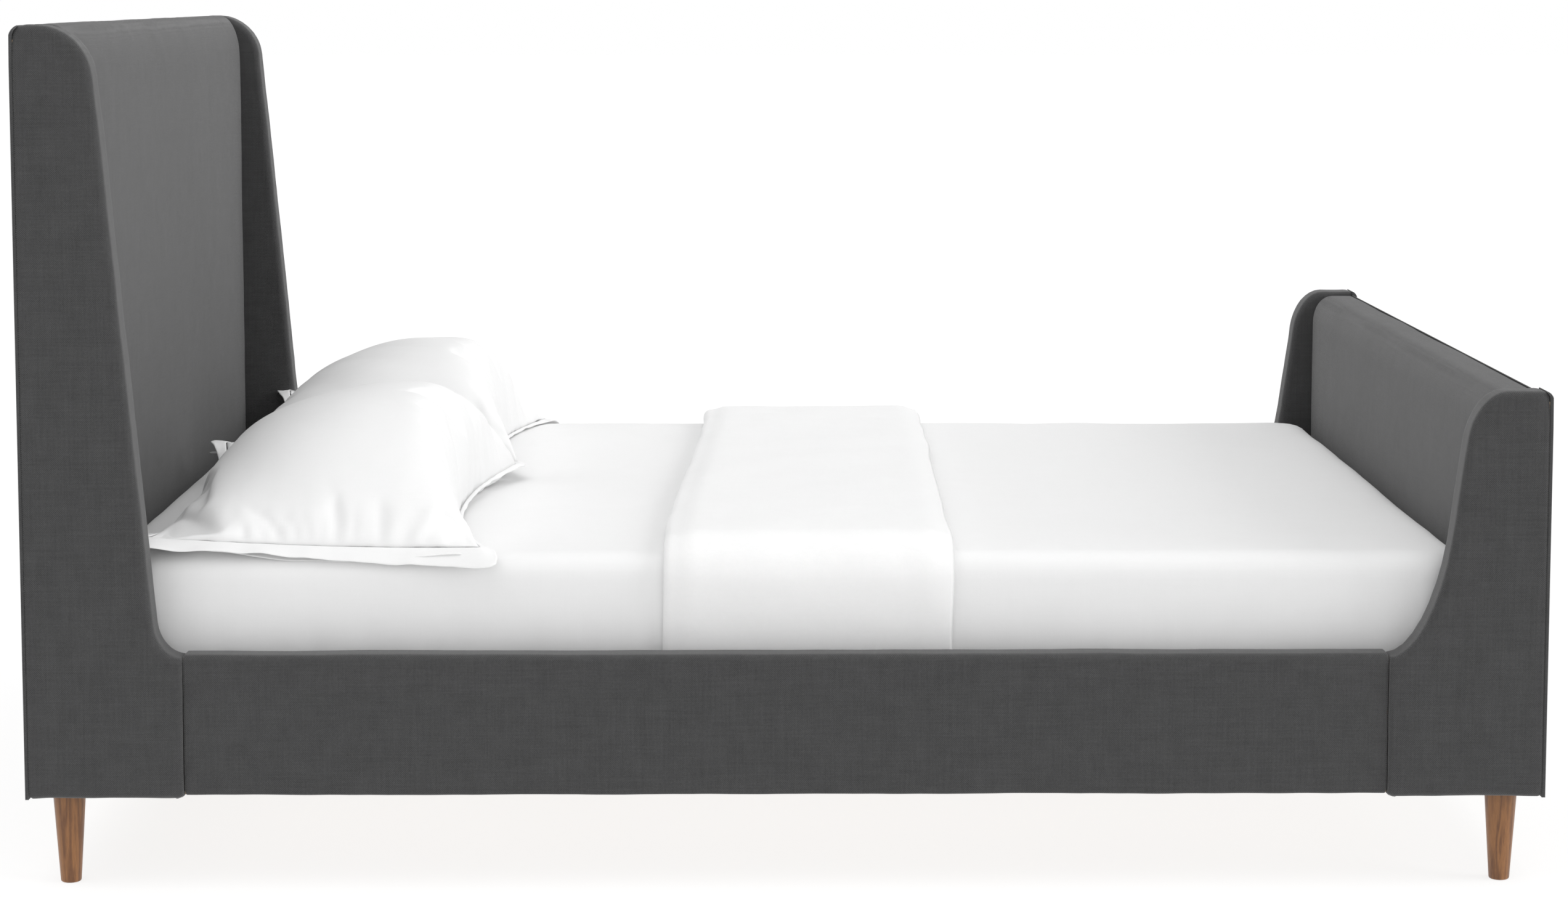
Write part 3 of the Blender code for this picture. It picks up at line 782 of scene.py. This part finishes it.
def railSection(low, high, inset):
    # from the hem under the outer side, up and over the board, to the hem under the inner side
    near, far, top = low.y + inset, high.y - inset, high.z - inset
    bottom = low.z - railLook["hemDrop"] + inset
    step, foot, crown = railLook["step"], railLook["footEdge"], railLook["topEdge"]
    section = alongLine((near + railLook["underHem"], bottom), (near + foot, bottom), step)
    section += alongArc((near + foot, bottom + foot), foot, 270, 180, 4)
    section += alongLine((near, bottom + foot), (near, top - crown), step)
    section += alongArc((near + crown, top - crown), crown, 180, 90, 6)
    section += alongLine((near + crown, top), (far - crown, top), step)
    section += alongArc((far - crown, top - crown), crown, 90, 0, 6)
    section += alongLine((far, top - crown), (far, bottom + foot), step)
    section += alongArc((far - foot, bottom + foot), foot, 0, -90, 4)
    section += alongLine((far - foot, bottom), (far - railLook["underHem"], bottom), step)
    return section + [(far - railLook["underHem"], bottom)]


def makeRail(sideName):
    node = f"side_rail_cover_{sideName}"
    low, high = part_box(node)
    turn = railLook["seamTurn"]
    length = high.x - low.x
    count = int(length / railLook["step"])
    stations = [(turn * (1 - math.cos(math.radians(angle))), turn * (1 - math.sin(math.radians(angle))))
                for angle in (0, 30, 60)]
    stations += [(turn + (length - 2 * turn) * index / count, 0.0) for index in range(count + 1)]
    stations += [(length - place, inset) for place, inset in reversed(stations[:3])]
    rings = [[Vector((low.x + place, y, z)) for y, z in railSection(low, high, inset)]
             for place, inset in stations]
    middle = (low + high) / 2

    def tuck(ring, out):
        reach = Vector((out * railLook["tuckGap"], 0, 0))
        return [middle + (place - middle) * Vector(railLook["tuckShare"]) + reach for place in ring]

    rings = [tuck(rings[0], -1), *rings, tuck(rings[-1], 1)]
    rail = stitchRings(f"railFabric{sideName.title()}", rings, False)
    moveVertices(rail, lambda place, normal: place - normal * railLook["ripple"] *
                 (0.5 + cloudy(place, 0.14, 11) + 0.4 * cloudy(place, 0.04, 12)))
    modify(rail, "SOLIDIFY", thickness=railLook["cloth"], offset=-1.0)
    handIn(rail, charcoalFabric, "bed_frame", node)


print("stage: side rails")
for sideName, side in bedSides:
    makeRail(sideName)


# mattress in its fitted sheet

mattressLook = {
    "voxel": 0.013,
    "topEdge": 0.032,
    "corner": 0.060,
    "topDip": 0.004,
    "pucker": 0.004,
    "puckerSize": 0.030,
    "puckerFoot": 0.07,        # strongest up to here above the underside, and gone at the next height
    "puckerTop": 0.21,
}


def makeMattress():
    low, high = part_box("mattress")
    mattress = addBlock("mattressInSheet", low, high)
    openEdit(mattress)
    pick(mattress, "EDGE", lambda places: abs(places[0].z - places[1].z) > 0.1)
    bpy.ops.mesh.bevel(offset=mattressLook["corner"], segments=8)
    pick(mattress, "EDGE", lambda places: abs(places[0].z - places[1].z) < 0.001)
    bpy.ops.mesh.bevel(offset=mattressLook["topEdge"], segments=6)
    closeEdit()
    fineSkin(mattress, mattressLook["voxel"])

    def settle(place, normal):
        up = shareOf(normal.z, 0.3, 0.95)
        level = 1 - abs(normal.z)
        fromRail = shareOf(place.z, low.z + mattressLook["puckerTop"], low.z + mattressLook["puckerFoot"])
        along = place.x if abs(normal.y) > abs(normal.x) else place.y
        pleat = abs(noise.noise(Vector((along / mattressLook["puckerSize"], place.z / 0.16, 2.0))))
        pucker = mattressLook["pucker"] * level * fromRail * pleat
        dip = mattressLook["topDip"] * up * (
            0.45 + cloudy(place, 0.30, 21) * 0.8 + 0.3 * cloudy(place, 0.09, 22))
        soft = 0.002 * level * (0.5 + cloudy(place, 0.16, 23))
        return place - normal * (pucker + max(dip, 0.0003) + soft)

    moveVertices(mattress, settle)
    handIn(mattress, whiteCotton, "mattress", "mattress")


# pillows in flanged cases

pillowLook = {
    "rows": 52,
    "columns": 76,
    "seamIn": 0.008,           # seam corners inside the space of the pillow
    "rear": (2.0, 0.66),       # how the cloth comes down to each seam: its power, and its steepness
    "front": (2.8, 0.42),
    "outer": (2.4, 1.0),
    "inner": (3.0, 0.45),
    # how high the seam stands over the mattress at each corner
    "left": {"rearOut": 0.024, "rearIn": 0.064, "frontOut": 0.008, "frontIn": 0.026},
    "right": {"rearOut": 0.060, "rearIn": 0.045, "frontOut": 0.003, "frontIn": 0.026},
    "crownAt": 0.66,           # share of the way from the rear seam to the front one
    "pullIn": {"rear": 0.030, "front": 0.060, "side": 0.014},    # the seams pull in between the corners
    # how far the flat edge reaches along each side, and how much further at each corner
    "flange": {"rear": 0.004, "front": 0.003, "outer": 0.019, "inner": 0.005},
    "tip": {"rearOut": 0.010, "rearIn": 0.026, "frontOut": 0.010, "frontIn": 0.009},
    "flangeSteps": 4,
    "flangeCloth": 0.0022,
    "droop": {"end": 0.004, "openSide": 0.013, "openFront": 0.014},
    "hem": {"reach": 0.026, "tuck": 0.014, "gap": 0.004, "sag": 0.014},    # lower layer of the open side
    "pressure": 3.0,
    "growth": -0.05,
    "bending": 0.3,
    "frames": 20,
    "limit": 0.012,            # the farthest the pressure may move the cloth
    "pucker": 0.0018,
}


def pillowSection(u, v):
    # how full the pillow is, from 0 on the seam to 1 at the crown
    crownAt = pillowLook["crownAt"] * 2 - 1
    if u < crownAt:
        share, (power, steep) = (crownAt - u) / (crownAt + 1), pillowLook["rear"]
    else:
        share, (power, steep) = (u - crownAt) / (1 - crownAt), pillowLook["front"]
    sidePower, sideSteep = pillowLook["outer" if v < 0 else "inner"]
    return max(1 - share ** power, 0.0) ** steep * max(1 - abs(v) ** sidePower, 0.0) ** sideSteep


def seamLift(sideName, u, v):
    lift = pillowLook[sideName]
    back, outside, inside = (1 - u) / 2, (1 - v) / 2, (1 + v) / 2
    return (back ** 2 * (outside ** 3 * lift["rearOut"] + inside ** 3 * lift["rearIn"]) +
            (1 - back) ** 2 * (outside * lift["frontOut"] + inside ** 2 * lift["frontIn"]))


def simulateCloth(piece, pinned):
    before = [vertex.co.copy() for vertex in piece.data.vertices]
    group = piece.vertex_groups.new(name="seam")
    group.add(pinned, 1.0, "REPLACE")
    cloth = piece.modifiers.new("Cloth", "CLOTH")
    cloth.settings.quality = 5
    cloth.settings.use_pressure = True
    cloth.settings.uniform_pressure_force = pillowLook["pressure"]
    cloth.settings.shrink_min = pillowLook["growth"]
    cloth.settings.bending_stiffness = pillowLook["bending"]
    cloth.settings.vertex_group_mass = "seam"
    cloth.settings.effector_weights.gravity = 0
    for number in range(1, pillowLook["frames"] + 1):
        bpy.context.scene.frame_set(number)
    takeUp(piece)
    bpy.ops.object.modifier_apply(modifier="Cloth")
    bpy.context.scene.frame_set(1)
    for vertex, start in zip(piece.data.vertices, before):
        step = vertex.co - start
        if step.length > pillowLook["limit"]:
            vertex.co = start + step.normalized() * pillowLook["limit"]
    piece.vertex_groups.clear()


def makePillow(sideName, side):
    low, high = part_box(f"pillow_{sideName}")
    rows, columns, pull = pillowLook["rows"], pillowLook["columns"], pillowLook["pullIn"]
    halfLength, middleX = (high.x - low.x) / 2 - pillowLook["seamIn"], (high.x + low.x) / 2
    halfWidth, middleY = (high.y - low.y) / 2 - pillowLook["seamIn"], (high.y + low.y) / 2
    base, full = low.z + 0.001, high.z - low.z

    def plan(u, v):
        pulled = pull["front"] if u > 0 else pull["rear"]
        x = middleX + u * (halfLength - pulled * (1 - v * v) * abs(u) ** 2)
        y = middleY - side * v * (halfWidth - pull["side"] * (1 - u * u) * abs(v) ** 3)
        return x, y

    shape = bmesh.new()
    grid = {}
    for layer in (1, 0):
        for row in range(rows + 1):
            for column in range(columns + 1):
                u, v = 2 * row / rows - 1, 2 * column / columns - 1
                onRim = row in (0, rows) or column in (0, columns)
                if layer == 0 and onRim:
                    grid[0, row, column] = grid[1, row, column]
                    continue
                lift, swell = seamLift(sideName, u, v), pillowSection(u, v)
                if layer:
                    height = lift + (full - lift) * swell
                else:
                    height = lift * max(1 - 2.4 * swell, 0.0)
                grid[layer, row, column] = shape.verts.new((*plan(u, v), base + height))
    for layer in (1, 0):
        for row in range(rows):
            for column in range(columns):
                shape.faces.new([grid[layer, row, column], grid[layer, row + 1, column],
                                 grid[layer, row + 1, column + 1], grid[layer, row, column + 1]])
    shape.verts.index_update()
    loop = [(row, 0) for row in range(rows)] + [(rows, column) for column in range(columns)]
    loop += [(rows - row, columns - column) for row, column in loop]
    rim = [grid[1, row, column].index for row, column in loop]
    pillow = placeShape(f"pillowCase{sideName.title()}", shape)
    simulateCloth(pillow, rim)

    def wrinkle(place, normal):
        u = (place.x - middleX) / halfLength
        v = (middleY - place.y) * side / halfWidth
        toLengthSeam, toWidthSeam = 1 - abs(u), 1 - abs(v)
        pleatsU = abs(noise.noise(Vector((place.x / 0.022, v * 2.0, side * 3.0))))
        pleatsV = abs(noise.noise(Vector((place.y / 0.024, u * 2.0, side * 5.0))))
        pucker = pleatsU * shareOf(toWidthSeam, 0.42, 0.03) * shareOf(toWidthSeam, 0.0, 0.05)
        pucker += pleatsV * shareOf(toLengthSeam, 0.50, 0.04) * shareOf(toLengthSeam, 0.0, 0.05)
        fold = abs(noise.noise(Vector((place.x * 6 + place.y * 5, place.y * 1.6 - place.x * 1.2,
                                       side * 2.0))))
        broad = cloudy(place, 0.15, side + 30)
        upper = shareOf(normal.z, -0.2, 0.4)
        step = pillowLook["pucker"] * pucker + upper * (0.004 * (0.25 - fold) - 0.003 * broad)
        moved = place - normal * step
        moved.z = max(moved.z, base)
        return moved

    moveVertices(pillow, wrinkle)
    addFlange(pillow, [pillow.data.vertices[index].co.copy() for index in rim], side, loop)
    modify(pillow, "SUBSURF", levels=1, render_levels=1)
    handIn(pillow, whiteCotton, f"pillow_{sideName}", f"pillow_{sideName}")


def addFlange(pillow, seam, side, loop):
    # the flat edge round the seam, and the lower layer of the case at its open side
    mattressLow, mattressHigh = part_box("mattress")
    rows, columns, steps = pillowLook["rows"], pillowLook["columns"], pillowLook["flangeSteps"]
    droops, hemLook = pillowLook["droop"], pillowLook["hem"]

    def onCloth(x, y, z):
        overMattress = mattressLow.y + 0.012 < y < mattressHigh.y - 0.012
        return (x, y, max(z, mattressHigh.z + 0.002) if overMattress else z)

    flangeRings, hemRings = [], []
    for (row, column), start in zip(loop, seam):
        u, v = 2 * row / rows - 1, 2 * column / columns - 1
        outX = u if row in (0, rows) else 0.6 * u ** 9
        outY = side * -v if column in (0, columns) else 0.6 * side * -v ** 9
        end, flank = ("rear", "front")[u > 0], ("outer", "inner")[v > 0]
        width = pillowLook["flange"][flank]
        if column not in (0, columns):
            width = pillowLook["flange"][end] + (width - pillowLook["flange"][end]) * abs(v) ** 8
        width += pillowLook["tip"][end + {"outer": "Out", "inner": "In"}[flank]] * abs(u * v) ** 6
        line = []
        for step in range(steps + 1):
            reach = width * step / steps - 0.002 * (step == 0)
            x, y = start.x + outX * reach, start.y + outY * reach
            share = step / steps
            wave = share * (0.005 * noise.noise(Vector((x / 0.050, y / 0.050, 4.0 + side))) +
                            0.002 * noise.noise(Vector((x / 0.018, y / 0.018, 8.0 + side))))
            droop = droops["end"] * (u > 0.9)
            if column == 0:
                droop = droops["openSide"] + droops["openFront"] * shareOf(u, -0.2, 1.0)
            line.append(onCloth(x, y, start.z - droop * share + wave))
        flangeRings.append(line)
        if column == 0 and 2 < row < rows - 2:
            sag = hemLook["sag"] * math.sin(math.pi * shareOf(u, -1.0, 1.0)) + hemLook["gap"]
            line = []
            for step in range(steps + 1):
                share = step / steps
                y = start.y + outY * (hemLook["reach"] * share - hemLook["tuck"])
                wave = 0.004 * share * noise.noise(Vector((start.x / 0.060, 2.0, side * 9.0)))
                line.append(onCloth(start.x, y, start.z - hemLook["gap"] - sag * share ** 0.8 + wave))
            hemRings.append(line)
    flange = stitchRings("pillowFlange", flangeRings + flangeRings[:1], False)
    openEdit(flange)
    bpy.ops.mesh.select_all(action="SELECT")
    bpy.ops.mesh.remove_doubles(threshold=0.00005)
    closeEdit()
    hem = stitchRings("pillowHem", hemRings, False)
    for cloth in (flange, hem):
        modify(cloth, "SOLIDIFY", thickness=pillowLook["flangeCloth"], offset=0.0)
    takeUp(flange)
    hem.select_set(True)
    pillow.select_set(True)
    bpy.context.view_layer.objects.active = pillow
    bpy.ops.object.join()


# folded blanket across the bed

blanketLook = {
    "step": 0.013,             # along the cloth, from one side of the bed to the other
    "bend": 0.034,             # radius over the mattress edge
    "fold": 0.035,             # the folded edge bulges by this share of the width
    "sectionSteps": 34,
    "gap": 0.0012,             # between the two layers
    "skewNear": (-0.004, -0.0035),    # how far each edge strays at the near side, and at the far one
    "skewFar": (0.034, 0.015),
    "wave": 0.0035,
    "softness": 0.0028,
}


def blanketPath(foot, mattressHigh):
    inner = mattressHigh.y + 0.0008
    under = mattressHigh.z + 0.0003
    radius, step = blanketLook["bend"], blanketLook["step"]
    side = [(-inner, foot + index * step) for index in range(int((under - radius - foot) / step) + 1)]
    turn = [(-inner + radius - radius * math.cos(math.radians(angle)),
             under - radius + radius * math.sin(math.radians(angle))) for angle in range(0, 91, 10)]
    count = int(2 * (inner - radius) / step)
    top = [(-inner + radius + 2 * (inner - radius) * index / count, under) for index in range(1, count)]
    half = side + turn
    return half + top + [(-y, z) for y, z in reversed(half)]


def blanketSection(thickness):
    steps = blanketLook["sectionSteps"]
    layer = (thickness - blanketLook["gap"]) / 2
    points = []
    # lower layer, from the open edge to the fold, then over it, and back along the top
    for index in range(steps + 1):
        points.append((1 - index / steps, 0.0))
    for angle in range(15, 180, 15):
        turn = math.radians(angle)
        points.append((-blanketLook["fold"] * math.sin(turn), thickness * (1 - math.cos(turn)) / 2))
    for index in range(steps + 1):
        points.append((index / steps, thickness))
    points.append((1.014, thickness - layer * 0.5))
    points.append((1.0, thickness - layer))
    for index in range(steps, -1, -1):
        points.append((0.02 + 0.975 * index / steps, layer + blanketLook["gap"]))
    points.append((0.012, thickness / 2))
    for index in range(steps + 1):
        points.append((0.02 + 0.975 * index / steps, layer))
    points.append((1.012, layer * 0.5))
    return points


def makeBlanket():
    low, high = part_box("folded_blanket")
    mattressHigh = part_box("mattress")[1]
    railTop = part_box("side_rail_cover_left")[1].z
    path = blanketPath(low.z, mattressHigh)
    fullThickness = high.z - mattressHigh.z
    sideThickness = high.y - mattressHigh.y
    rings = []
    for index, (y, z) in enumerate(path):
        before, after = path[max(index - 1, 0)], path[min(index + 1, len(path) - 1)]
        along = Vector((after[0] - before[0], after[1] - before[1])).normalized()
        out = Vector((-along.y, along.x))
        rise = shareOf(z, railTop - 0.010, mattressHigh.z - 0.004)
        thickness = sideThickness - 0.0016 + (fullThickness - sideThickness) * rise
        far = shareOf(y, -0.8, 0.8)
        strays = [near * (1 - far) + away * far
                  for near, away in zip(blanketLook["skewNear"], blanketLook["skewFar"])]
        start, end = low.x + strays[0], high.x + strays[1]
        ring = []
        for share, lift in blanketSection(thickness):
            edge = abs(2 * share - 1) ** 6
            x = start + (end - start) * share + blanketLook["wave"] * edge * noise.noise(
                Vector((y / 0.16, z / 0.16, 3.0 if share > 0.5 else 6.0)))
            upper = lift / thickness
            soft = blanketLook["softness"] * upper * rise * (
                cloudy((x, y, z), 0.12, 41) + 0.4 * cloudy((x, y, z), 0.045, 42) - 0.4)
            roundOff = 0.22 * thickness * upper * shareOf(abs(2 * share - 1), 0.86, 1.0)
            place = Vector((y, z)) + out * (lift + soft - roundOff)
            ring.append((x, place.x, place.y))
        rings.append(ring)
    quilt = stitchRings("foldedQuilt", rings, True)
    handIn(quilt, whiteQuilt, "folded_blanket", "folded_blanket")
    length = sum(math.dist(a, b) for a, b in zip(path, path[1:]))


print("stage: bedding")
makeMattress()
for sideName, side in bedSides:
    makePillow(sideName, side)
makeBlanket()


# timber and hardware that keep their own shape


def dress(start, material):
    for name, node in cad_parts.items():
        if name.startswith(start):
            for materialSlot in node.material_slots:
                materialSlot.material = material


print("stage: timber and hardware")
for start, axis in (("slat_ledger", 0), ("centre_beam", 0), ("side_rail_board", 0), ("centre_post", 2),
                    ("headboard_panel", 1), ("footboard_panel", 1), ("headboard_wing_core", 2),
                    ("footboard_wing_core", 2)):
    dress(start, paleTimber[axis])
for number in range(1, 13):
    dress(f"slat_{number:02d}", paleTimber[1])
for start in ("beam_seat", "rail_bracket", "bolt"):
    dress(start, zincSteel)
dress("levelling_foot", blackPlastic)


# floor

print("stage: floor")
bpy.ops.mesh.primitive_plane_add(size=floorLook["size"])
floor = bpy.context.object
floor.name = "studioFloor"
floor.data.materials.append(makeFloorFinish())
